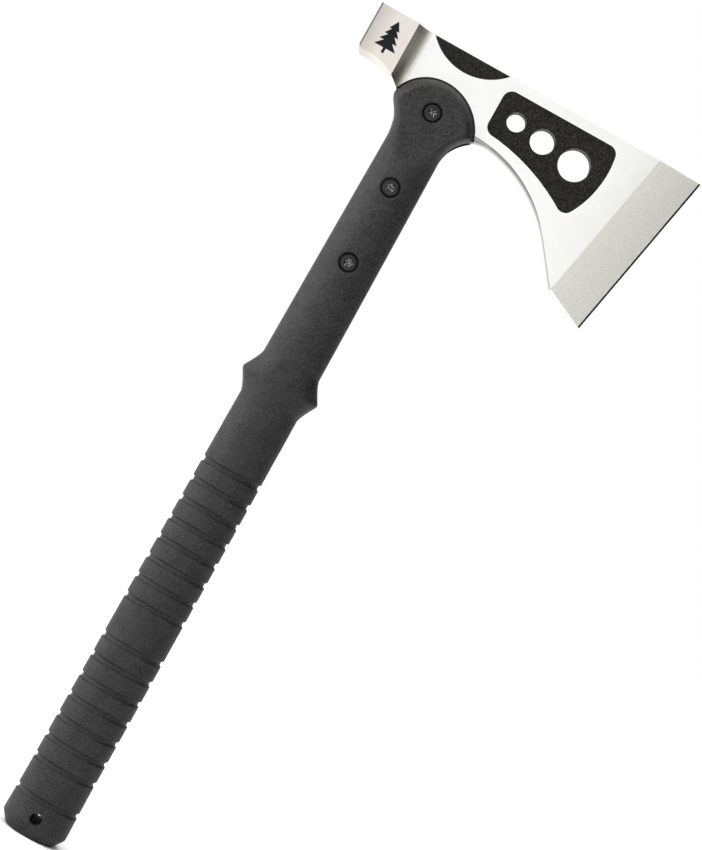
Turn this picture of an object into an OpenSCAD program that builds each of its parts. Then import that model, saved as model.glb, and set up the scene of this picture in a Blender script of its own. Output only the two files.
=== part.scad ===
// Camp hatchet: a one-piece steel head whose tang is bolted into a moulded handle.
// The butt face lies on z = 0, the handle's axis is Z, and the edge points along +X.

/* [Overall] */
// Height from the butt face to the top of the head
overall_h = 400; // [380:1:490]
// Reach of the edge's upper corner from the handle's axis
blade_reach = 120; // [115:1:150]
// Reach of the poll's striking face from the handle's axis
poll_reach = 43.3; // [40:0.1:60]

/* [Head] */
// Thickness of the head's flat body
body_t = 9.5; // [8:0.1:12]
// Thickness of the poll block
poll_t = 24; // [20:0.5:30]
// Rounding of the poll's lower corner
poll_round = 2; // [0.5:0.1:4]
// Distance from the handle's axis to the inner end of the poll's full thickness
poll_step = 24.3; // [22:0.1:28]
// Length of the cutting edge
edge_len = 84.2; // [70:0.1:105]
// Lean of the cutting edge away from the handle's axis
edge_tilt = 11; // [5:0.5:15]
// Width of the ground bevel
bevel_w = 21; // [15:0.5:26]
// Thickness left where the bevel meets the honed edge
honed_t = 0.7; // [0.5:0.1:1.5]
// Width of the honed edge on each side
honed_w = 0.6; // [0.4:0.1:1.5]
// Thickness of the edge itself
edge_t = 0.1; // [0.05:0.05:0.3]
// Radius of the curve under the beard
beard_r = 65; // [55:1:75]
// Angle past the top of the neck's curve at which the beard's curve takes over
beard_start = 9.8; // [5:0.1:15]
// Slope of the straight stretch below that curve
beard_slope = 53; // [45:1:60]
// Slope of the heel below the bevel
heel_slope = 24; // [20:0.5:35]
// Radius of the curve from the neck to the beard
neck_front_r = 17.2; // [16:0.1:19]
// Rise of the steel neck above the lip of the cheeks
neck_reveal = 2.4; // [1:0.1:3]
// Chamfer under the neck, which dies out along the beard
neck_chamfer = 1.2; // [0.5:0.1:2]

/* [Head recesses] */
// Depth of the recesses on each face
recess_d = 0.5; // [0.3:0.1:1]
// Distance from the handle's axis to the panel recess
panel_x = 23.7; // [23.5:0.1:30]
// Land between the panel recess and the top of the head
panel_top_land = 4.9; // [3:0.1:8]
// Land between the panel recess and the bevel
panel_end_land = 17.3; // [10:0.1:25]
// Land between the panel recess and the neck under it
panel_low_land = 5.9; // [3:0.1:8]
// Depth of the panel recess's longest stretch below the top of the head
panel_mid_drop = 16.5; // [12:0.1:18]
// Radius of the panel recess's curved end
panel_end_r = 46; // [40:1:60]
// Radius of the panel recess's lower edge
panel_low_r = 96; // [80:1:120]
// Rounding of the panel recess's corners
panel_corner_r = 4.5; // [2:0.5:6]
// Diameter of the smallest through hole
hole_d = 8.8; // [6:0.1:10]
// Growth of each through hole over the one before
hole_growth = 1.3; // [1.1:0.05:1.35]
// Web of steel between neighbouring through holes
hole_web = 4.4; // [3:0.1:7]
// Fall of the row of through holes
hole_fall = 7.3; // [0:0.1:10]
// Land between the panel recess's inner end and the first through hole
hole_land = 6.4; // [3:0.1:10]
// Distance from the handle's axis to the middle of the crescent recess
crescent_x = 3.1; // [0:0.1:6]
// Radius of the crescent recess at the top of the head
crescent_r = 25.6; // [20:0.1:30]
// Depth of the crescent recess below the top of the head
crescent_h = 8.7; // [6:0.1:9]

/* [Tang] */
// Thickness of the tang
tang_t = 8; // [6:0.1:9]
// Width of the tang
tang_w = 18; // [14:0.1:20]
// Length of the tang below the head's shoulders
tang_len = 82; // [80:1:95]
// Height of the shoulders above the neck
shoulder_rise = 6.7; // [5:0.1:9]
// Clearance round the tang, and round the neck between the cheeks
tang_gap = 0.15; // [0.05:0.05:0.4]

/* [Handle] */
// Width of the grip above the pommel
grip_w = 30.6; // [28:0.1:37]
// Thickness of the grip above the pommel
grip_t = 26; // [24:0.1:32]
// Depth of the neck below the top of the head
neck_drop = 49.7; // [46:0.1:55]
// Width of the handle at the neck
neck_w = 26.2; // [25:0.1:32]
// Thickness of the handle at the neck
neck_t = 25; // [24:0.1:31]
// Height of the pommel
pommel_h = 26; // [24:1:30]
// Extra width and thickness at the widest part of the pommel
pommel_swell = 0.8; // [0:0.1:3]
// Height of the chamfer round the butt face
butt_chamfer_h = 5; // [2:0.5:6]
// Inset of that chamfer at the handle's sides
butt_inset_side = 3.7; // [1:0.1:5]
// Inset of that chamfer at the handle's faces
butt_inset_face = 1.6; // [1:0.1:3]
// Diameter of the lanyard hole
lanyard_d = 5.1; // [4:0.1:7]
// Height of the lanyard hole above the butt face
lanyard_z = 9.3; // [8:0.1:12]

/* [Grip grooves] */
// Depth of the grooves
groove_d = 0.9; // [0.4:0.1:1.5]
// Height of the top groove above the butt face
upper_groove_z = 185.1; // [180:0.1:195]
// Number of grooves above the plain band
upper_grooves = 8; // [1:1:8]
// Spacing of the grooves above the plain band
upper_pitch = 9.95; // [8:0.05:10]
// Height of the first groove below the plain band
lower_groove_z = 95.3; // [94:0.1:100]
// Number of grooves below the plain band
lower_grooves = 7; // [1:1:7]
// Spacing of the grooves below the plain band
lower_pitch = 10.3; // [8:0.05:10.3]
// Height of the groove round the pommel
pommel_groove_z = 17.6; // [16:0.1:20]

/* [Guard and cheeks] */
// Width across the tips of the guard
guard_w = 38; // [34:0.1:46]
// Height of the guard's tips above the butt face
guard_z = 229.5; // [215:0.1:260]
// Half length of the guard's flare
guard_reach = 10.5; // [8:0.5:14]
// Radius of the cheeks' round top
cheek_r = 21.8; // [21:0.1:26]
// Offset of the cheeks' centre towards the edge
cheek_x = 1.1; // [0:0.1:2]
// Lean of the cheeks' arc toward the poll, for each millimetre above its centre
cheek_lean = 0.077; // [0:0.001:0.1]
// Depth of the cheeks' centre below the top of the head
cheek_drop = 38.1; // [37:0.1:42]
// Radius of the curve from the neck to the front corner of the cheeks
cheek_front_r = 18; // [15:0.1:20]
// Radius of the curve from the neck to the back corner of the cheeks
cheek_back_r = 25; // [22:0.1:27]
// Width of the cheeks' rounded rim along their arc
cheek_rim = 5.2; // [3:0.1:8]
// Width of the cheeks' rounded rim along their flanks
flank_rim = 4; // [3:0.1:8]

/* [Fasteners] */
// Depth of the upper screw below the top of the head
screw_drop = 32; // [30:0.5:36]
// Spacing of the three screws
screw_pitch = 38; // [30:0.5:38]
// Diameter of the screws' threads
screw_d = 4; // [3:0.1:5]
// Outside diameter of the barrel nuts' sleeves
sleeve_d = 6; // [5.5:0.1:7]
// Diameter of the screw and nut heads
fastener_head_d = 8.2; // [8:0.1:10]
// Height of the screw and nut heads
fastener_head_h = 2.4; // [2:0.1:3]
// Depth of the six-lobed drive recess
drive_depth = 1.6; // [1:0.1:1.8]
// Width across the lobes of the drive recess
drive_d = 4.4; // [3.8:0.1:5]
// How far the heads sit below the face of the cheeks
head_sink = 0.3; // [0:0.1:1]
// Clearance round the sleeves in the tang and the handle
sleeve_gap = 0.15; // [0.05:0.05:0.4]
// Clearance round the heads in their counterbores
counterbore_gap = 0.25; // [0.1:0.05:0.5]
// Clearance between a screw and the thread of its nut
thread_gap = 0.05; // [0.02:0.01:0.2]

/* [Hidden] */
$fn = 96;
steel = [0.84, 0.84, 0.82];
polymer = [0.2, 0.2, 0.2];
black_oxide = [0.1, 0.1, 0.1];
past = 1; // how far a cut runs past the surface that it opens
ramp_sink = 0.05; // how far the poll's ramp runs into the body's faces
panel_low_lean = 3; // degrees that the lower curve of the panel leans toward the edge
relief_start = 8; // how far behind the top of the neck's curve the neck's chamfer starts
relief_shift = 4 * neck_chamfer; // how far the chamfer's centre is from the curve's
screw_end_gap = 2; // between the end of a screw or nut and the head of its partner
swell_run = 20; // height over which the pommel swells
guard_gain = 1.1; // makes up for the round on the guard's tip
guard_power = 1.35; // above 1 the guard's flanks are concave
guard_tip = 0.006; // round on the guard's tip
cheek_start = 12; // how far below neck_z the section starts to turn from grip to cheek
cheek_run = 18; // height over which it turns

// Places that the head and the handle share
neck_z = overall_h - neck_drop; // where the cheeks' flanks leave the handle
shoulder_z = neck_z + shoulder_rise; // the head's shoulders rest on the handle here
cheek_c = [cheek_x, overall_h - cheek_drop];
front_c = [neck_w / 2 - neck_reveal + neck_front_r, neck_z];
back_c = [-neck_w / 2 - cheek_back_r, neck_z];
screw_z = [for (i = [0:2]) overall_h - screw_drop - i * screw_pitch];
seat_y = neck_t / 2 - head_sink - fastener_head_h; // under the heads of the fasteners

// Points of the blade's outline
neck_back_r = cheek_back_r + neck_reveal;
neck_top_z = neck_z + neck_front_r;
beard_axis = [sin(beard_start), cos(beard_start)];
beard_c = front_c - (beard_r - neck_front_r) * beard_axis;
beard_top = beard_c + beard_r * beard_axis;
beard_end = beard_c + beard_r * [sin(beard_slope), cos(beard_slope)];
toe = [blade_reach, overall_h];
heel = toe - edge_len * [sin(edge_tilt), cos(edge_tilt)];
beard_corner = meet(beard_end, -beard_slope, heel, -heel_slope);
poll_bottom_z = neck_z + neck_back_r;

// Where the line through p at angle a crosses the line through q at angle b
function meet(p, a, q, b) =
    let (d = q - p, u = [cos(a), sin(a)], v = [cos(b), sin(b)])
    p + u * (d.x * v.y - d.y * v.x) / (u.x * v.y - u.y * v.x);

// A flat shape drawn in x and z, given the thickness t across the handle's faces
module slab(t) {
    rotate([90, 0, 0]) linear_extrude(height = t, center = true) children();
}

// Places the children at the screw whose height is z, with their axis along Y
module at_screw(z) {
    translate([0, 0, z]) rotate([90, 0, 0]) children();
}

// ---- Head ----

module blade_outline() {
    difference() {
        polygon([
            [beard_top.x, overall_h], toe, heel, beard_corner, beard_end, [beard_top.x, beard_end.y],
        ]);
        translate(beard_c) circle(beard_r);
    }
}

// The underside of the poll runs level from the striking face to the neck's curve
module neck_outline() {
    difference() {
        translate([-poll_reach, shoulder_z])
            square([poll_reach + beard_top.x, overall_h - shoulder_z]);
        translate(front_c) circle(neck_front_r);
        translate(back_c) circle(neck_back_r);
        translate([-poll_reach - past, shoulder_z - past])
            square([poll_reach + past + back_c.x, poll_bottom_z - shoulder_z + past]);
        translate([-poll_reach, poll_bottom_z]) difference() {
            translate([-past, -past]) square(poll_round + past);
            translate([poll_round, poll_round]) circle(poll_round);
        }
    }
}

// Thickness along the head: honed edge, ground bevel, then the flat body
module blade_section() {
    far = blade_reach + poll_reach + past;
    polygon([
        [0, edge_t / 2], [0, -edge_t / 2], [-honed_w, -honed_t / 2], [-bevel_w, -body_t / 2],
        [-far, -body_t / 2], [-far, body_t / 2], [-bevel_w, body_t / 2], [-honed_w, honed_t / 2],
    ]);
}

// Plan of the poll block, with a hollow-ground ramp that just runs into the flat body
module poll_plan() {
    ramp_r = (poll_t - body_t) / 2 + ramp_sink;
    difference() {
        translate([-poll_reach - past, -poll_t / 2 - past])
            square([poll_reach - poll_step + ramp_r + past, poll_t + 2 * past]);
        for (side = [-1, 1])
            translate([-poll_step + ramp_r, side * poll_t / 2]) circle(ramp_r);
    }
}

module panel_outline() {
    bevel_top_x = toe.x - bevel_w / cos(edge_tilt);
    low_c = [panel_x - panel_low_r * sin(panel_low_lean), neck_top_z + panel_low_land - panel_low_r];
    offset(r = panel_corner_r) offset(delta = -panel_corner_r) difference() {
        intersection() {
            translate([panel_x, beard_end.y])
                square([blade_reach, overall_h - panel_top_land - beard_end.y]);
            translate([bevel_top_x - panel_end_land - panel_end_r, overall_h - panel_mid_drop])
                circle(panel_end_r);
        }
        translate(low_c) circle(panel_low_r);
    }
}

module through_holes() {
    ds = [for (i = [0:2]) hole_d * pow(hole_growth, i)];
    steps = [0, (ds[0] + ds[1]) / 2 + hole_web, (ds[0] + 2 * ds[1] + ds[2]) / 2 + 2 * hole_web];
    for (i = [0:2])
        translate([
            panel_x + hole_land + hole_d / 2 + steps[i] * cos(hole_fall), 0,
            overall_h - panel_mid_drop - steps[i] * sin(hole_fall),
        ])
            rotate([90, 0, 0]) cylinder(d = ds[i], h = body_t + 2 * past, center = true);
}

module recesses() {
    for (side = [-1, 1]) translate([0, side * body_t / 2, 0]) slab(2 * recess_d) {
        panel_outline();
        translate([crescent_x, overall_h - crescent_h + crescent_r]) circle(crescent_r);
    }
}

// A cone under the beard's curve, centred higher up so that its chamfer dies out along the curve
module neck_relief() {
    face_r = beard_r + neck_chamfer - relief_shift;
    face_c = beard_c + relief_shift * beard_axis;
    for (side = [-1, 1]) intersection() {
        translate([face_c.x, side * (body_t / 2 - neck_chamfer), face_c.y])
            rotate([-90 * side, 0, 0])
                cylinder(r1 = face_r - neck_chamfer, r2 = face_r + neck_chamfer, h = 2 * neck_chamfer);
        translate([front_c.x - relief_start, -body_t, beard_c.y]) cube([beard_r, 2 * body_t, 2 * beard_r]);
    }
}

module head() {
    color(steel) difference() {
        union() {
            intersection() {
                slab(poll_t) {
                    blade_outline();
                    neck_outline();
                }
                union() {
                    translate([toe.x, 0, toe.y]) rotate([0, edge_tilt, 0])
                        linear_extrude(height = 4 * edge_len, center = true) blade_section();
                    linear_extrude(height = overall_h + past) poll_plan();
                }
            }
            translate([-tang_w / 2, -tang_t / 2, shoulder_z - tang_len])
                cube([tang_w, tang_t, tang_len + past]);
        }
        recesses();
        through_holes();
        neck_relief();
        for (z = screw_z)
            at_screw(z) cylinder(d = sleeve_d + 2 * sleeve_gap, h = body_t + 2 * past, center = true);
    }
}

// ---- Handle ----

function clamp01(t) = min(1, max(0, t));
function ease(t) = let (c = clamp01(t)) c * c * (3 - 2 * c);

// Share of the way from the grip's size to the neck's, slow at first
function taper(z) =
    let (t = clamp01((z - pommel_h) / (neck_z - pommel_h)))
    0.37 * t + 0.63 * t * t;
function swell(z) = pommel_swell / 2 * clamp01((pommel_h - z) / swell_run);
function half_w(z) = grip_w / 2 - (grip_w - neck_w) / 2 * taper(z) + swell(z);
function half_t(z) = grip_t / 2 - (grip_t - neck_t) / 2 * taper(z) + swell(z);

// Flare of the guard, with concave flanks and a small round on its tip
function guard(z) =
    let (s = sqrt(pow((z - guard_z) / guard_reach, 2) + guard_tip))
    (guard_w / 2 - half_w(guard_z)) * guard_gain * pow(max(0, 1 - s), guard_power);

// Height of a rounded rim of width b, at the distance d inside it, with exponent k
function rim(d, b, k) = pow(max(0, 1 - pow(1 - clamp01(d / b), k)), 1 / k);

// Front and back flanks of the handle, which sweep out to the corners of the cheeks
function flank(z, r) = let (rise = max(0, min(r, z - neck_z))) r - sqrt(r * r - rise * rise);
function front_x(z) = half_w(z) + guard(z) + flank(z, cheek_front_r);
function back_x(z) = -half_w(z) - guard(z) - flank(z, cheek_back_r);
function arc_x(z) = sqrt(max(0, pow(cheek_r, 2) - pow(max(0, z - cheek_c.y), 2)));
function arc_mid(z) = cheek_c.x - cheek_lean * max(0, z - cheek_c.y);

// One ring of the handle, set in by side and face
function ring(z, side, face) =
    let (
        x0 = max(back_x(z), arc_mid(z) - arc_x(z)) + side,
        x1 = min(front_x(z), arc_mid(z) + arc_x(z)) - side,
        cheek = ease((z - neck_z + cheek_start) / cheek_run),
        b = half_w(z) + guard(z) - side + (flank_rim - half_w(z)) * cheek,
        k = 2.2 + 0.2 * cheek
    )
    [for (i = [0:ring_n - 1])
        let (
            a = 360 * i / ring_n,
            x = (x0 + x1) / 2 + (x1 - x0) / 2 * cos(a),
            flank_in = min(x - back_x(z) - side, front_x(z) - side - x),
            arc_in = z < neck_z ? cheek_rim : cheek_r - norm([x - arc_mid(z), max(0, z - cheek_c.y)]),
            y = (half_t(z) - face) * rim(flank_in, b, k) * rim(arc_in, cheek_rim, 2)
        )
        [x, sign(round(1000 * sin(a))) * y, z]];

ring_n = 36;
groove_profile = [[-1.8, 0], [-1.1, 1], [0.7, 1], [1.3, 0]]; // offset along Z, share of the depth
groove_zs = concat(
    [pommel_groove_z],
    [for (i = [lower_grooves - 1:-1:0]) lower_groove_z - i * lower_pitch],
    [for (i = [upper_grooves - 1:-1:0]) upper_groove_z - i * upper_pitch]
);
neck_low_z = guard_z + 2 * guard_reach; // the neck runs straight from here to the cheeks
handle_rings = concat(
    [ring(0, butt_inset_side, butt_inset_face), ring(butt_chamfer_h, 0, 0)],
    [for (z = groove_zs) for (g = groove_profile) ring(z + g[0], groove_d * g[1], groove_d * g[1])],
    [for (s = [-1:0.125:1]) ring(guard_z + s * guard_reach, 0, 0)],
    [for (s = [0:0.25:1]) ring(neck_low_z + (neck_z - cheek_start - neck_low_z) * s, 0, 0)],
    [for (z = [neck_z - cheek_start + 2.5:2.5:cheek_c.y - 1]) ring(z, 0, 0)],
    [for (a = [0:3:27]) ring(cheek_c.y + cheek_r * sin(a), 0, 0)],
    [for (a = [33:6:87]) ring(cheek_c.y + cheek_r * sin(a), 0, 0)]
);

module handle_shell() {
    top = len(handle_rings) - 1;
    polyhedron(
        points = [for (r = handle_rings) each r],
        faces = concat(
            [[for (i = [0:ring_n - 1]) i]],
            [for (j = [0:top - 1]) for (i = [0:ring_n - 1]) for (half = [0, 1])
                let (a = j * ring_n + i, b = j * ring_n + (i + 1) % ring_n)
                half == 0 ? [a, a + ring_n, b] : [b, a + ring_n, b + ring_n]],
            [[for (i = [ring_n - 1:-1:0]) top * ring_n + i]]
        )
    );
}

// Space between the cheeks for the neck and the foot of the poll's ramp, and the blind pocket
// below it for the tang
module tang_space() {
    translate([-2 * cheek_r, -body_t / 2 - tang_gap, shoulder_z])
        cube([4 * cheek_r, body_t + 2 * tang_gap, overall_h]);
    translate([0, 0, neck_top_z]) linear_extrude(height = overall_h)
        offset(delta = tang_gap) poll_plan();
    pocket = [tang_w + 2 * tang_gap, tang_t + 2 * tang_gap, tang_len + tang_gap + past];
    translate([-pocket.x / 2, -pocket.y / 2, shoulder_z - tang_len - tang_gap]) cube(pocket);
}

module handle() {
    color(polymer) difference() {
        handle_shell();
        tang_space();
        for (z = screw_z) at_screw(z) {
            cylinder(d = sleeve_d + 2 * sleeve_gap, h = 2 * grip_t, center = true);
            for (side = [0, 180]) rotate([side, 0, 0]) translate([0, 0, seat_y])
                cylinder(d = fastener_head_d + 2 * counterbore_gap, h = grip_t);
        }
        translate([0, 0, lanyard_z]) rotate([90, 0, 0])
            cylinder(d = lanyard_d, h = 2 * grip_t, center = true);
    }
}

// ---- Fasteners ----

// Domed head with a six-lobed drive, seated on z = seat_y
module fastener_head() {
    dome_r = 2.2 * fastener_head_d;
    lobe_r = drive_d * 0.15;
    translate([0, 0, seat_y]) difference() {
        intersection() {
            cylinder(d = fastener_head_d, h = fastener_head_h);
            translate([0, 0, fastener_head_h - dome_r]) sphere(dome_r);
        }
        translate([0, 0, fastener_head_h - drive_depth]) difference() {
            cylinder(d = drive_d, h = drive_depth + past);
            for (i = [0:5]) rotate(60 * i) translate([drive_d / 2, 0, -past])
                cylinder(r = lobe_r, h = drive_depth + 3 * past);
        }
    }
}

// The screw comes in from the -Y face
module screw(z) {
    color(black_oxide) at_screw(z) {
        fastener_head();
        translate([0, 0, -seat_y + fastener_head_h + screw_end_gap])
            cylinder(d = screw_d, h = 2 * seat_y - fastener_head_h - screw_end_gap);
    }
}

// The barrel nut comes in from the +Y face and its sleeve crosses the tang
module barrel_nut(z) {
    sleeve_len = 2 * (seat_y - screw_end_gap);
    color(black_oxide) at_screw(z) rotate([180, 0, 0]) difference() {
        union() {
            fastener_head();
            translate([0, 0, seat_y - sleeve_len]) cylinder(d = sleeve_d, h = sleeve_len);
        }
        translate([0, 0, seat_y - sleeve_len - past])
            cylinder(d = screw_d + 2 * thread_gap, h = sleeve_len - fastener_head_h + past);
    }
}

head();
handle();
screw(screw_z[0]);  // screw_upper
screw(screw_z[1]);  // screw_middle
screw(screw_z[2]);  // screw_lower
barrel_nut(screw_z[0]);  // barrel_nut_upper
barrel_nut(screw_z[1]);  // barrel_nut_middle
barrel_nut(screw_z[2]);  // barrel_nut_lower
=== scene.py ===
import math

import bmesh
import bpy
import numpy as np
from mathutils import Matrix, Vector


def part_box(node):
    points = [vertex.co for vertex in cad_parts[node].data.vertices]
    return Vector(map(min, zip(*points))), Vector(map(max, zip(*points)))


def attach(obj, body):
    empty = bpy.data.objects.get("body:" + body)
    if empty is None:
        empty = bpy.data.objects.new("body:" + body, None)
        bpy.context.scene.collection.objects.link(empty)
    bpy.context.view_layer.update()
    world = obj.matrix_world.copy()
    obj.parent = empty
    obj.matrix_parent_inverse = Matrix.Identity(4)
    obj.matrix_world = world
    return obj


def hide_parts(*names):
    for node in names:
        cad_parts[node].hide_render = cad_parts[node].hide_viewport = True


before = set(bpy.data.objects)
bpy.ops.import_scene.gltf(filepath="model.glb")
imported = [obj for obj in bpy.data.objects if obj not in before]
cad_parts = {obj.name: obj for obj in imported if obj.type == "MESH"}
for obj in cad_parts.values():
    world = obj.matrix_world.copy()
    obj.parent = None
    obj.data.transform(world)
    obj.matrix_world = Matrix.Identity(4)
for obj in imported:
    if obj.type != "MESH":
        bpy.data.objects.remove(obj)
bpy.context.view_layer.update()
MM = 0.001

# ---------------------------------------------------------------------------------------------
# Head
# One piece of stainless steel: blade, neck, square poll and a tang that the handle hides. Its
# flats are satin ground, the bevels are ground across, the poll is bead blasted and carries an
# etched spruce, and the recesses in both faces are filled with pebbled black enamel.

(POLL_X, _, _), (EDGE_X, POLL_Y, TOP_Z) = (np.array(corner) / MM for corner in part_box("head"))
BODY_Y = 4.75
RECESS_Y = BODY_Y - 0.5
RAMP_X = (-24.3, -17.0)
EDGE_TILT = math.radians(11)
BEVEL_W = 21
HONED_W = 0.8
SPRUCE = (-32.6, 380.2)
CHEEK_X, CHEEK_Z, CHEEK_R, CHEEK_LEAN = 1.1, 361.9, 21.8, 0.077


class Wire:
    """The output of a shader node. Arithmetic on it adds Math nodes to its tree."""

    def __init__(self, socket):
        self.socket = socket

    def node(self, kind, settings=None, sockets=None, output=0):
        """Adds a node of that type to this wire's tree: its settings first, then its sockets."""
        tree = self.socket.id_data
        new = tree.nodes.new(kind)
        for name, value in (settings or {}).items():
            setattr(new, name, value)
        for name, value in (sockets or {}).items():
            if isinstance(value, Wire):
                tree.links.new(value.socket, new.inputs[name])
            else:
                new.inputs[name].default_value = value
        return Wire(new.outputs[output])

    def math(self, operation, *others):
        """This wire and up to two more values through one Math node."""
        values = dict(enumerate((self, *others)))
        return self.node("ShaderNodeMath", {"operation": operation}, values)

    def __add__(self, other):
        return self.math("ADD", other)

    def __sub__(self, other):
        return self.math("SUBTRACT", other)

    def __rsub__(self, other):
        return self * -1 + other

    def __mul__(self, other):
        return self.math("MULTIPLY", other)

    def __abs__(self):
        return self.math("ABSOLUTE")

    __radd__ = __add__
    __rmul__ = __mul__

    def band(self, low, high):
        """0 where this is low, 1 where it is high and even between them; low may be greater."""
        return ((self - low) * (1 / (high - low))).math("MINIMUM", 1).math("MAXIMUM", 0)

    def blend(self, first, second):
        """The colour first where this is 0 and second where it is 1."""
        colours = {0: self}
        for socket, colour in ((6, first), (7, second)):
            colours[socket] = colour if isinstance(colour, Wire) else (*colour, 1)
        return self.node("ShaderNodeMix", {"data_type": "RGBA"}, colours, output=2)

    def noise(self, size, stretch=(1, 1, 1), detail=3):
        """Noise over these coordinates, with features of that size in mm drawn out by stretch."""
        scale = tuple(1 / (size * MM * s) for s in stretch)
        spread = self.node("ShaderNodeMapping", None, {"Vector": self, "Scale": scale})
        return self.node(
            "ShaderNodeTexNoise", None, {"Vector": spread, "Scale": 1.0, "Detail": detail}
        )

    def bump(self, depth):
        """A normal from this height, whose full range is depth in mm."""
        return self.node("ShaderNodeBump", None, {"Height": self, "Distance": depth * MM})


def new_finish(name, **constants):
    """A material with those constants on its shader: material, shader, place, x, y and z in mm."""
    finish = bpy.data.materials.new(name)
    finish.use_nodes = True
    shader = finish.node_tree.nodes["Principled BSDF"]
    for socket, value in constants.items():
        shader.inputs[socket.replace("_", " ")].default_value = value
    place = Wire(finish.node_tree.nodes.new("ShaderNodeTexCoord").outputs["Object"])
    split = place.node("ShaderNodeSeparateXYZ", None, {0: place})
    x, y, z = (Wire(output) * (1 / MM) for output in split.socket.node.outputs)
    return finish, shader, place, x, y, z


def feed(shader, **wires):
    """Links each wire to the shader's socket of that name."""
    for socket, wire in wires.items():
        shader.id_data.links.new(wire.socket, shader.inputs[socket.replace("_", " ")])


def spruce_mask(x, z):
    """1 inside a small spruce that stands on its trunk: four tiers, each narrower than the last.

    A tier is where the distance from the trunk's middle line is less than its half width, which
    falls evenly from its foot to its tip.
    """
    from_trunk = abs(x - SPRUCE[0])
    mask = from_trunk.band(0.75, 0.6) * (z - SPRUCE[1]).band(0, 0.1) * z.band(
        SPRUCE[1] + 3.0, SPRUCE[1] + 2.9
    )
    for foot, tip, half in ((2.4, 8.0, 5.4), (5.6, 10.6, 4.5), (8.6, 13.2, 3.6), (11.4, 16.0, 2.6)):
        up = z - (SPRUCE[1] + foot)
        slack = half * (1 - up * (1 / (tip - foot))) - from_trunk
        mask = mask.math("MAXIMUM", slack.band(0, 0.15) * up.band(0, 0.1))
    return mask


def arc_distance(x, z):
    """Square of the distance from the middle of the cheeks' arc, which leans toward the poll."""
    up = z - CHEEK_Z
    across = x - CHEEK_X + CHEEK_LEAN * up
    return across * across + up * up


def steel_regions(x, y, z):
    """Distance behind the edge, then masks of the bevel, the honed edge, the poll and its ramp."""
    from_edge = (EDGE_X - x) * math.cos(EDGE_TILT) + (z - TOP_Z) * math.sin(EDGE_TILT)
    on_bevel = from_edge.band(BEVEL_W + 0.1, BEVEL_W - 0.1)
    edge_shade = from_edge.band(HONED_W + 0.12, HONED_W)
    on_poll = x.band(RAMP_X[0] + 0.1, RAMP_X[0] - 0.1)
    on_ramp = x.band(RAMP_X[1], RAMP_X[1] - 0.5) * (1 - on_poll)
    return from_edge, on_bevel, edge_shade, on_poll, on_ramp


def ground_steel():
    """Ground steel: fine lines along the flats, across the bevel and down the poll's ramps.

    The blade's side walls, chamfers and honed edge are painted darker as shade, the flats are mottled
    and darker toward the bevel, the poll is painted darker toward its striking face as shade, and a
    black line of painted shadow runs round the cheeks.
    """
    finish, shader, place, x, y, z = new_finish("ground_steel", Metallic=1.0)
    from_edge, on_bevel, edge_shade, on_poll, on_ramp = steel_regions(x, y, z)
    turned = place.node("ShaderNodeMapping", None, {"Vector": place, "Rotation": (0, EDGE_TILT, 0)})
    flat_lines = place.noise(0.25, (60, 1, 1))
    bevel_grain = turned.noise(0.3, (8, 1, 1), detail=5)
    ramp_lines = place.noise(0.45, (1, 1, 60))
    blasted = place.noise(0.3, detail=5)
    mottle = place.noise(12)
    lines = flat_lines * (1 - on_bevel) + bevel_grain * on_bevel
    lines = lines * (1 - on_ramp) + ramp_lines * on_ramp
    lines = lines * (1 - on_poll) + blasted * on_poll

    # The flats are mottled at random and darker toward the bevel.
    mottled_to_bevel = (mottle * 0.5 + from_edge.band(36, BEVEL_W) * 0.3).band(0.1, 0.9)
    flat_colour = mottled_to_bevel.blend((0.95, 0.95, 0.93), (0.82, 0.82, 0.78))
    bevel_colour = bevel_grain.band(0.3, 0.7).blend((0.6, 0.6, 0.55), (0.75, 0.75, 0.69))
    ramp_colour = ramp_lines.band(0.3, 0.7).blend((0.62, 0.59, 0.51), (0.88, 0.86, 0.78))
    poll_colour = blasted.band(0.25, 0.75).blend((0.6, 0.56, 0.51), (0.78, 0.74, 0.69))
    colour = on_bevel.blend(flat_colour, bevel_colour)
    colour = on_ramp.blend(colour, ramp_colour)
    colour = on_poll.blend(colour, poll_colour)

    # Painted shade: the poll is darker toward its striking face and darkest on its last millimetre.
    poll_end_shade = x.band(POLL_X + 9, POLL_X + 1) * 0.35 + x.band(POLL_X + 0.9, POLL_X + 0.5) * 0.65
    colour = (poll_end_shade * on_poll).blend(colour, (0.16, 0.15, 0.14))
    # Painted shade: the side walls and chamfers, away from the poll, ramp and bevel, are a darker
    # grey.
    wall_shade = abs(y).band(BODY_Y - 0.05, BODY_Y - 0.1) * (1 - on_poll) * (1 - on_ramp) * (1 - on_bevel)
    colour = wall_shade.blend(colour, (0.27, 0.27, 0.255))
    # Painted shade: a near-black line along the honed edge.
    colour = edge_shade.blend(colour, (0.015, 0.015, 0.015))
    # Painted shadow: the steel is black round the foot of the cheeks' arc and under the cheeks.
    past_cheek_shadow = arc_distance(x, z).band((CHEEK_R + 0.1) ** 2, (CHEEK_R + 0.3) ** 2)
    colour = past_cheek_shadow.blend((0.006, 0.006, 0.006), colour)
    etched = spruce_mask(x, z) * y.band(BODY_Y - POLL_Y, -POLL_Y + 0.5) * on_poll
    colour = etched.blend(colour, (0.02, 0.02, 0.022))
    rough = 0.3 + 0.08 * on_bevel + 0.12 * on_poll + 0.08 * lines + 0.2 * etched
    feed(shader, Base_Color=colour, Roughness=rough, Normal=lines.bump(0.008))
    return finish


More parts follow.
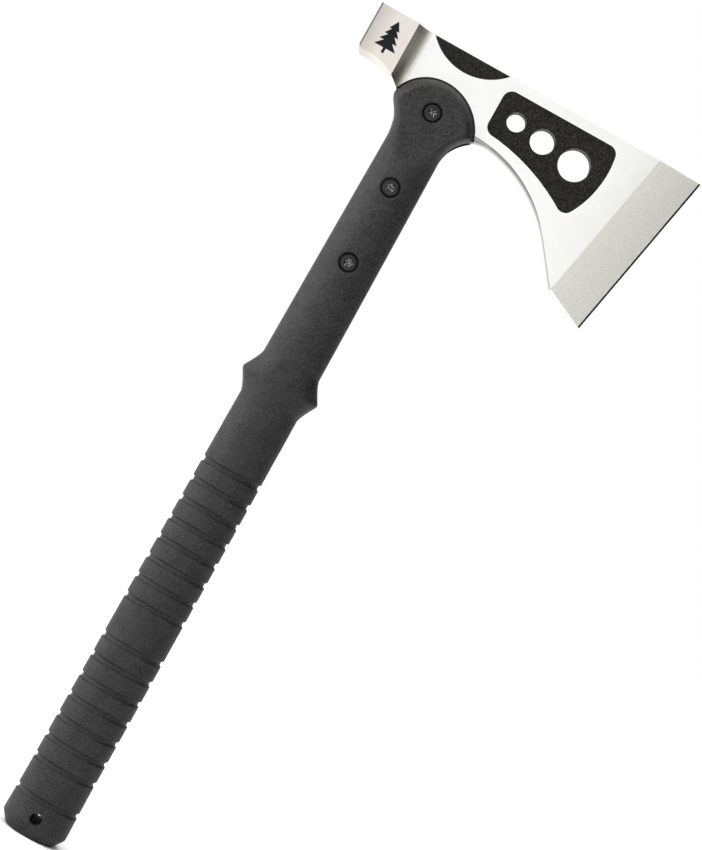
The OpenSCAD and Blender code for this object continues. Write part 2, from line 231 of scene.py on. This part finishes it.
def pebbled_enamel():
    """Baked black enamel with a fine pebbled skin."""
    finish, shader, place, *_ = new_finish("pebbled_enamel", Specular_IOR_Level=0.14)
    pebbles = place.node(
        "ShaderNodeTexVoronoi", {"feature": "SMOOTH_F1"}, {"Vector": place, "Scale": 1 / (0.8 * MM)}
    )
    grain = place.noise(0.45, detail=5)
    height = (1 - pebbles) * 0.7 + grain * 0.5
    colour = grain.band(0.45, 0.7).blend((0.001, 0.001, 0.001), (0.035, 0.033, 0.03))
    feed(shader, Base_Color=colour, Roughness=0.35 + 0.4 * grain, Normal=height.bump(0.2))
    return finish


def edge_round(x, y, z):
    """How far an edge of the head is rounded, in mm, given the middle of the edge."""
    from_edge = (EDGE_X - x) * math.cos(EDGE_TILT) + (z - TOP_Z) * math.sin(EDGE_TILT)
    if from_edge < 1:
        return 0.02
    if from_edge < BEVEL_W + 0.5 or z < TOP_Z - 60:
        return 0.08
    return 0.35 if x < RAMP_X[0] - 1.5 else 0.12


head_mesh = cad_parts["head"].data.copy()
head = bpy.data.objects.new("head_steel", head_mesh)
bpy.context.scene.collection.objects.link(head)
head_mesh.materials.clear()
head_mesh.materials.append(ground_steel())
head_mesh.materials.append(pebbled_enamel())

# The copy is merged and its flat triangles joined, and the floors and walls of the recesses are
# given the enamel. The line between a flat and its bevel stays crisp, and the sharp outer edges
# are weighted for the Bevel modifier.
work = bmesh.new()
work.from_mesh(head_mesh)
bmesh.ops.remove_doubles(work, verts=work.verts, dist=1e-6)
bmesh.ops.dissolve_limit(
    work, angle_limit=math.radians(0.5), verts=work.verts, edges=work.edges
)
for face in work.faces:
    face.smooth = True
    depths = [abs(vert.co.y) / MM for vert in face.verts]
    in_recess = min(depths) > RECESS_Y - 0.01 and max(depths) < BODY_Y + 0.01
    sunk = min(depths) < RECESS_Y + 0.01
    square_on = abs(face.normal.y) > 0.99 or abs(face.normal.y) < 0.01
    face.material_index = int(in_recess and sunk and square_on)
weights = work.edges.layers.float.new("bevel_weight_edge")
for edge in work.edges:
    if all(abs(face.normal.y) > 0.9 for face in edge.link_faces):
        edge.smooth = edge.calc_face_angle_signed() < math.radians(9)
    if edge.calc_face_angle_signed() > math.radians(14):
        edge[weights] = edge_round(*((edge.verts[0].co + edge.verts[1].co) / 2 / MM))
work.to_mesh(head_mesh)
work.free()
soften = head.modifiers.new("soften", "BEVEL")
soften.limit_method = "WEIGHT"
soften.width = MM
soften.segments = 2
soften.material = 0
level = head.modifiers.new("level", "WEIGHTED_NORMAL")
level.weight = 100
level.keep_sharp = True
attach(head, "root")
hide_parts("head")

# ---------------------------------------------------------------------------------------------
# Handle
# One charcoal moulding of glass-filled nylon with a fine sparked grain. It is moulded with a
# slot between two cheeks for the head's neck and a pocket for the tang, is bored and
# counterbored for the three fasteners, and has a flared lanyard hole through the pommel.

NECK_Z = 350.3
SHOULDER_Z = 357.0
POMMEL_H = 26.0
GRIP_W, GRIP_T = 15.3, 13.0  # half sizes
NECK_W, NECK_T = 13.1, 12.5
CHEEK_RIM, FLANK_RIM = 5.2, 4.0
FRONT_FLANK_R, BACK_FLANK_R = 18.0, 25.0
GUARD_Z, GUARD_REACH, GUARD_HALF = 229.5, 10.5, 19.0
GROOVE_ZS = np.concatenate(
    [[17.6], 95.3 - 10.3 * np.arange(7)[::-1], 185.1 - 9.95 * np.arange(8)[::-1]]
)
SCREW_ZS = (368.0, 330.0, 292.0)
SEAT_Y = 9.8
HEAD_R = 4.1
SLEEVE_R = 3.0
LANYARD_Z, LANYARD_R = 9.3, 2.55
TANG_X, TANG_Y, TANG_L = 9.0, 4.0, 82.0
GAP = 0.15  # clearance round the head and the sleeves
COLUMNS = 128


def clamp(t):
    """t held between 0 and 1."""
    return np.clip(t, 0, 1)


def half_size(z, grip, neck):
    """Half of the handle's width or thickness at the height z.

    It goes from grip to neck by the share 0.37 t + 0.63 t², where t runs from the pommel to the
    neck, and the pommel adds 0.4 mm that fades out over its top 20 mm.
    """
    t = clamp((z - POMMEL_H) / (NECK_Z - POMMEL_H))
    swell = 0.4 * clamp((POMMEL_H - z) / 20)
    return grip - (grip - neck) * (0.37 * t + 0.63 * t**2) + swell


def half_width(z):
    """Half width with the guard, whose flanks fall as (1 - distance)^1.35 to either side.

    The 0.006 rounds the guard's tip, and the 1.1 makes up for what that takes off it.
    """
    away = np.sqrt(((z - GUARD_Z) / GUARD_REACH) ** 2 + 0.006)
    reach = GUARD_HALF - half_size(GUARD_Z, GRIP_W, NECK_W)
    return half_size(z, GRIP_W, NECK_W) + reach * 1.1 * clamp(1 - away) ** 1.35


def cheek_middle(z):
    """x of the middle of the cheeks' arc at the height z: above its centre it leans back."""
    return CHEEK_X - CHEEK_LEAN * np.maximum(0, z - CHEEK_Z)


def flanks(z):
    """x of the handle's back and front at z, where the cheeks sweep out along quarter circles."""
    sweep = []
    for radius in (BACK_FLANK_R, FRONT_FLANK_R):
        rise = np.clip(z - NECK_Z, 0, radius)
        sweep.append(radius - np.sqrt(radius**2 - rise**2))
    return -half_width(z) - sweep[0], half_width(z) + sweep[1]


def rim(inward, width, power):
    """Height of a rounded rim, from 0 on its outline to 1 at that width inward from it."""
    return (1 - (1 - clamp(inward / width)) ** power) ** (1 / power)


def face_depth(x, z, side=0.0, face=0.0):
    """Distance of the handle's face from its middle plane at x and z.

    The flat half thickness times two rims: one in from the flanks, whose width goes from the
    whole half width on the grip to FLANK_RIM on the cheeks, and one in from the cheeks' arc,
    which starts above the neck. side and face sink the surface, as in a groove.
    """
    t = clamp((z - NECK_Z + 12) / 18)
    cheek = t * t * (3 - 2 * t)
    width = half_width(z) - side + (FLANK_RIM - half_width(z)) * cheek
    back, front = flanks(z)
    flank_in = np.minimum(x - back, front - x) - side
    arc_in = CHEEK_R - np.hypot(x - cheek_middle(z), np.maximum(0, z - CHEEK_Z))
    arc_in = np.where(z < NECK_Z, CHEEK_RIM, arc_in)
    depth = half_size(z, GRIP_T, NECK_T) - face
    return depth * rim(flank_in, width, 2.2 + 0.2 * cheek) * rim(arc_in, CHEEK_RIM, 2)


def softened(z, places, values, window):
    """The mean of the line through those places and values over a window centred on each z."""
    steps = np.linspace(-0.5, 0.5, 9) * window
    return np.mean([np.interp(z + step, places, values) for step in steps], axis=0)


def handle_rings():
    """The handle's outer surface: one ring of COLUMNS points for each height.

    Each ring goes round from the front flank by the cosine of its angle, held inside the cheeks'
    arc. The butt's chamfer and the grooves are shares of a depth along z, each with its corners
    softened: a groove has a flat floor, a slope below it and a slightly steeper one above it.
    """
    z = np.unique(np.concatenate([
        [0, 0.03, 0.1, 0.22, 0.4, 0.6], np.arange(1, 12, 0.6), np.arange(12, 222, 1.5),
        *(GROOVE_ZS[:, None] + np.linspace(-2.2, 1.6, 24)),
        np.arange(218, 241, 0.6), np.arange(242, 336, 3.0), np.arange(336, 361, 0.8),
        CHEEK_Z + CHEEK_R * np.sin(np.radians(np.linspace(0, 88, 48))),
    ]).round(3))[:, None]
    profile = np.array([[-1.8, 0], [-1.1, 1], [0.7, 1], [1.2, 0]])
    places = (GROOVE_ZS[:, None] + profile[:, 0]).ravel()
    groove = 0.95 * softened(z, places, np.tile(profile[:, 1], len(GROOVE_ZS)), 0.3)
    chamfer = softened(z, [-9, 0, 5, 9], [14 / 5, 1, 0, 0], 1.2)
    corner = 0.5 * (1 - np.sqrt(1 - clamp(1 - z / 0.5) ** 2))
    side = groove + 3.7 * chamfer + corner
    face = groove + 1.6 * chamfer + corner
    angle = np.linspace(0, 2 * math.pi, COLUMNS, endpoint=False)
    arc = np.sqrt(np.maximum(0, CHEEK_R**2 - np.maximum(0, z - CHEEK_Z) ** 2))
    back, front = flanks(z)
    back = np.maximum(back, cheek_middle(z) - arc) + side
    front = np.minimum(front, cheek_middle(z) + arc) - side
    x = (back + front) / 2 + (front - back) / 2 * np.cos(angle)
    y = face_depth(x, z, side, face) * np.sign(np.round(np.sin(angle), 6))
    return np.stack([x, y, z + 0 * x], axis=-1)


def new_piece(name, finish, *surfaces):
    """A piece made of surfaces: each is an array of rings of points in mm, closed by two caps."""
    verts, faces = [], []
    for rings in surfaces:
        rows, columns = rings.shape[:2]
        index = np.arange(rows * columns).reshape(rows, columns) + sum(map(len, verts))
        low, high = index[:-1], index[1:]
        quads = [low, np.roll(low, -1, 1), np.roll(high, -1, 1), high]
        faces += np.stack(quads, axis=-1).reshape(-1, 4).tolist()
        faces += [index[0, ::-1].tolist(), index[-1].tolist()]
        verts.append(rings.reshape(-1, 3))
    mesh = bpy.data.meshes.new(name)
    mesh.from_pydata(np.concatenate(verts) * MM, [], faces)
    mesh.materials.append(finish)
    mesh.shade_smooth()
    mesh.set_sharp_from_angle(angle=math.radians(30))
    piece = bpy.data.objects.new(name, mesh)
    bpy.context.scene.collection.objects.link(piece)
    return piece


def lathe(radius, y, z, outward=1):
    """Rings round a Y axis at height z. radius and y may change with the angle.

    outward is 1 where y rises along the rings and -1 where it falls.
    """
    angle = np.linspace(0, 2 * math.pi, np.shape(radius)[-1], endpoint=False)
    x = radius * np.cos(angle)
    return np.stack([x, y + 0 * x, z - outward * radius * np.sin(angle)], axis=-1)


def bore(z, inner, outer, wide, deep):
    """Cutter for a hole through the handle: inner radius within the seats, outer beyond them.

    Where it meets a face it opens by a quarter of an ellipse, which follows the face.
    """
    angle = np.linspace(0, 2 * math.pi, 72, endpoint=False)
    turn = np.radians([[0], [20], [40], [60], [75]])
    radius = outer + wide * (1 - np.cos(turn)) + 0 * angle
    depth = face_depth(radius * np.cos(angle), z - radius * np.sin(angle))
    depth = depth - deep * (1 - np.sin(turn))
    radius = np.vstack([radius, radius[-1:] + 0.29, radius[-1:] + 0.29])
    depth = np.vstack([depth, depth[-1:] + 0.08, 0 * depth[-1:] + 15])
    if inner < outer:
        radius = np.vstack([0 * angle + inner, 0 * angle + outer, radius])
        depth = np.vstack([0 * angle + SEAT_Y, 0 * angle + SEAT_Y, depth])
    return lathe(np.vstack([radius[::-1], radius]), np.vstack([-depth[::-1], depth]), z)


def block(x, y, z_low, z_high):
    """A box, as two rings of four corners."""
    corners = np.array([[x, y], [-x, y], [-x, -y], [x, -y]])
    return np.stack([np.column_stack([corners, [z] * 4]) for z in (z_low, z_high)])


def moulded_nylon():
    """Glass-filled nylon from a spark-eroded mould: a fine even grain, faintly mottled.

    It is painted black as shade along the cheeks' arc, inside the counterbores and inside the lanyard
    hole.
    """
    finish, shader, place, x, y, z = new_finish("moulded_nylon", Specular_IOR_Level=0.36)
    grain = place.noise(0.8, detail=5)
    fine = place.noise(0.25)
    mottle = place.noise(7)
    speckle = (grain * 0.8 + mottle * 0.2).band(0.4, 0.6)
    colour = speckle.blend((0.001, 0.001, 0.001), (0.022, 0.0205, 0.0205))
    # Painted shade: black along the foot of the cheeks' arc, round the screw heads in the counterbores
    # and inside the lanyard hole.
    painted_black_shade = arc_distance(x, z).band((CHEEK_R - 1.6) ** 2, (CHEEK_R - 0.9) ** 2)
    painted_black_shade = painted_black_shade * (z - CHEEK_Z).band(-2, 0)
    for hole_z, inner, outer in (
        (LANYARD_Z, LANYARD_R + 0.15, LANYARD_R + 0.35),
        *((screw_z, HEAD_R + 0.5, HEAD_R + 0.8) for screw_z in SCREW_ZS),
    ):
        from_hole = x * x + (z - hole_z) * (z - hole_z)
        painted_black_shade = painted_black_shade.math("MAXIMUM", from_hole.band(outer**2, inner**2))
    colour = painted_black_shade.blend(colour, (0.001, 0.001, 0.001))
    height = grain * 0.7 + fine * 0.3
    rough = 0.46 + 0.2 * grain + 0.3 * painted_black_shade
    feed(shader, Base_Color=colour, Roughness=rough, Normal=height.bump(0.3))
    return finish


nylon = moulded_nylon()
handle = new_piece("handle_moulding", nylon, handle_rings())
cutters = [
    new_piece("slot", nylon, block(50, BODY_Y + GAP, SHOULDER_Z, TOP_Z)),
    new_piece(
        "pocket",
        nylon,
        block(TANG_X + GAP, TANG_Y + GAP, SHOULDER_Z - TANG_L - GAP, SHOULDER_Z + 1),
    ),
    new_piece(
        "bores",
        nylon,
        *(bore(z, SLEEVE_R + GAP, HEAD_R + 0.25, 1.4, 0.35) for z in SCREW_ZS),
        bore(LANYARD_Z, LANYARD_R, LANYARD_R, 0.6, 0.6),
    ),
]
for cutter in cutters:
    cut = handle.modifiers.new("cut", "BOOLEAN")
    cut.solver = "EXACT"
    cut.object = cutter
shaped = handle.evaluated_get(bpy.context.evaluated_depsgraph_get())
handle.data = bpy.data.meshes.new_from_object(shaped)
handle.modifiers.clear()
for cutter in cutters:
    bpy.data.objects.remove(cutter)
handle.data.set_sharp_from_angle(angle=math.radians(30))
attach(handle, "root")
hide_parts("handle")

# ---------------------------------------------------------------------------------------------
# Screws and barrel nuts
# Three six-lobed screws go in from one face and thread into barrel nuts from the other, whose
# sleeves cross the tang. All are turned steel with a black oxide finish, domed and set just
# below the cheeks' faces.

HEAD_H = 2.4
DRIVE_DEPTH = 1.6
DOME_R = 2.2 * 2 * HEAD_R
END_GAP = 2.0
EDGE_R = 0.7


def black_oxide():
    """Black oxide on turned steel: a dark satin crown, the drive and the head's rim painted black as
    shade, and painted glints in the drive.
    """
    finish, shader, place, x, y, z = new_finish("black_oxide", Specular_IOR_Level=0.3)
    wear_and_glint = place.noise(0.5, detail=4)
    above_seat = abs(y) - SEAT_Y
    # Painted shade: below the crown, in the drive and round the head's rim, the colour is near black.
    crown = above_seat.band(HEAD_H - 0.36, HEAD_H - 0.28)
    # Painted glints: grey specks on the drive's floor, from the same noise that mottles the worn
    # crown.
    painted_glint = wear_and_glint.band(0.5, 0.56) * above_seat.band(1.1, 1)
    colour = painted_glint.blend((0.0008, 0.0008, 0.0008), (0.5, 0.5, 0.5))
    worn = wear_and_glint.band(0.3, 0.75).blend((0.004, 0.004, 0.004), (0.02, 0.019, 0.019))
    colour = crown.blend(colour, worn)
    rough = (0.2 + 0.15 * wear_and_glint) * crown + 0.9 * (1 - crown)
    feed(shader, Base_Color=colour, Roughness=rough, Normal=wear_and_glint.bump(0.02))
    return finish


def fastener(z, facing, turned, tail_radius, tail_height):
    """A domed head with a six-lobed drive on its seat, and below it the given tail.

    Heights are measured outwards from the seat. The drive's outline is 1.87 + 0.33 cos 6a, its
    floor dips to a shallow cone, the dome is part of a sphere and its rim is a quarter round.
    """
    angle = np.linspace(0, 2 * math.pi, 96, endpoint=False)
    lobes = 1.87 + 0.33 * np.cos(6 * (angle + turned))
    floor = HEAD_H - DRIVE_DEPTH

    def dome(radius):
        return HEAD_H - DOME_R + np.sqrt(DOME_R**2 - radius**2)

    share = np.array([[0.03], [0.5], [0.94], [0.99], [1.0]])
    rise = np.array([[-0.25], [-0.12], [0.0], [0.05], [0.15]])
    radius, height = [share * lobes], [floor + rise + 0 * angle]
    turn = np.radians([[0], [30], [60], [90]])
    lip = lobes + 0.12 * (1 - np.cos(turn))
    radius.append(lip)
    height.append(dome(lip) - 0.12 * (1 - np.sin(turn)))
    out = np.linspace(0.2, 1, 5)[:, None]
    across = lip[-1] + (HEAD_R - EDGE_R - lip[-1]) * out
    radius.append(across)
    height.append(dome(across))
    edge = HEAD_R - EDGE_R + EDGE_R * np.sin(turn[1:]) + 0 * angle
    radius.append(edge)
    height.append(dome(HEAD_R - EDGE_R) - EDGE_R * (1 - np.cos(turn[1:])) + 0 * angle)
    radius.append([0 * angle + HEAD_R, *(0 * angle + r for r in tail_radius)])
    height.append([0 * angle, *(0 * angle + h for h in tail_height)])
    return lathe(np.vstack(radius), facing * (SEAT_Y + np.vstack(height)), z, -facing)


oxide = black_oxide()
shank = 2 * SEAT_Y - HEAD_H - END_GAP
sleeve = 2 * (SEAT_Y - END_GAP)
for place, z, turned in zip(("upper", "middle", "lower"), SCREW_ZS, (0.3, 0.75, 0.1)):
    for node, facing, radii, heights in (
        ("screw_", -1, (2.0, 2.0, 1.7), (0, 0.3 - shank, -shank)),
        ("barrel_nut_", 1, (3.0, 3.0, 2.8, 2.05, 2.05), (0, 0.2 - sleeve, -sleeve, -sleeve, -HEAD_H)),
    ):
        piece = new_piece(node + place + "_turned", oxide, fastener(z, facing, turned, radii, heights))
        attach(piece, "root")
        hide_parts(node + place)

# ---------------------------------------------------------------------------------------------
# Studio
# A pale floor under the butt, a surround that looks evenly white but lights more from above and
# from the left and hardly at all from the right, and one large soft light above the hatchet's
# left shoulder.

floor_mesh = bpy.data.meshes.new("floor")
floor_mesh.from_pydata([(-9, -9, 0), (9, -9, 0), (9, 9, 0), (-9, 9, 0)], [], [(0, 1, 2, 3)])
paper = bpy.data.materials.new("paper")
paper.use_nodes = True
paper.node_tree.nodes["Principled BSDF"].inputs["Base Color"].default_value = (0.93, 0.93, 0.93, 1)
paper.node_tree.nodes["Principled BSDF"].inputs["Roughness"].default_value = 0.9
floor_mesh.materials.append(paper)
floor = bpy.data.objects.new("floor", floor_mesh)
bpy.context.scene.collection.objects.link(floor)

world = bpy.data.worlds.new("studio")
bpy.context.scene.world = world
world.use_nodes = True
background = world.node_tree.nodes["Background"]
background.inputs["Color"].default_value = (1, 1, 1, 1)
ray = Wire(world.node_tree.nodes.new("ShaderNodeTexCoord").outputs["Generated"])
to_right = ray.node("ShaderNodeSeparateXYZ", None, {0: ray})
to_back, to_top = (Wire(to_right.socket.node.outputs[axis]) for axis in "YZ")
facing = abs(to_back).band(0.45, 0.9)
shade = to_right.band(0.1, 0.8)
light = 0.22 + 0.7 * facing * facing * (3 - 2 * facing) + 2.6 * to_top.band(0.55, 0.95)
light = (light + 3.4 * to_right.band(-0.72, -0.98)) * (1 - 0.95 * shade * shade * (3 - 2 * shade))
seen = ray.node("ShaderNodeLightPath")
light = light * (1 - seen) + seen
world.node_tree.links.new(light.socket, background.inputs["Strength"])

lamp = bpy.data.objects.new("softbox", bpy.data.lights.new("softbox", "AREA"))
bpy.context.scene.collection.objects.link(lamp)
lamp.data.size = 0.5
lamp.data.energy = 12
toward = Vector((0.75, 0.5, -0.42)).normalized()
lamp.matrix_world = Matrix.Translation(Vector((0, 0, 0.25)) - 1.5 * toward) @ (
    toward.to_track_quat("-Z", "Y").to_matrix().to_4x4()
)

camera = bpy.data.objects.new("camera", bpy.data.cameras.new("camera"))
bpy.context.scene.collection.objects.link(camera)
bpy.context.scene.camera = camera
camera.data.sensor_width = 36
camera.data.lens = 111.7
roll = math.radians(60.7)
right = (math.sin(roll), 0, math.cos(roll))
up = (-math.cos(roll), 0, math.sin(roll))
camera.matrix_world = Matrix((right, up, (0, -1, 0))).transposed().to_4x4()
camera.matrix_world.translation = (0.0362, -1.180, 0.2298)
bpy.context.scene.view_settings.view_transform = "Standard"
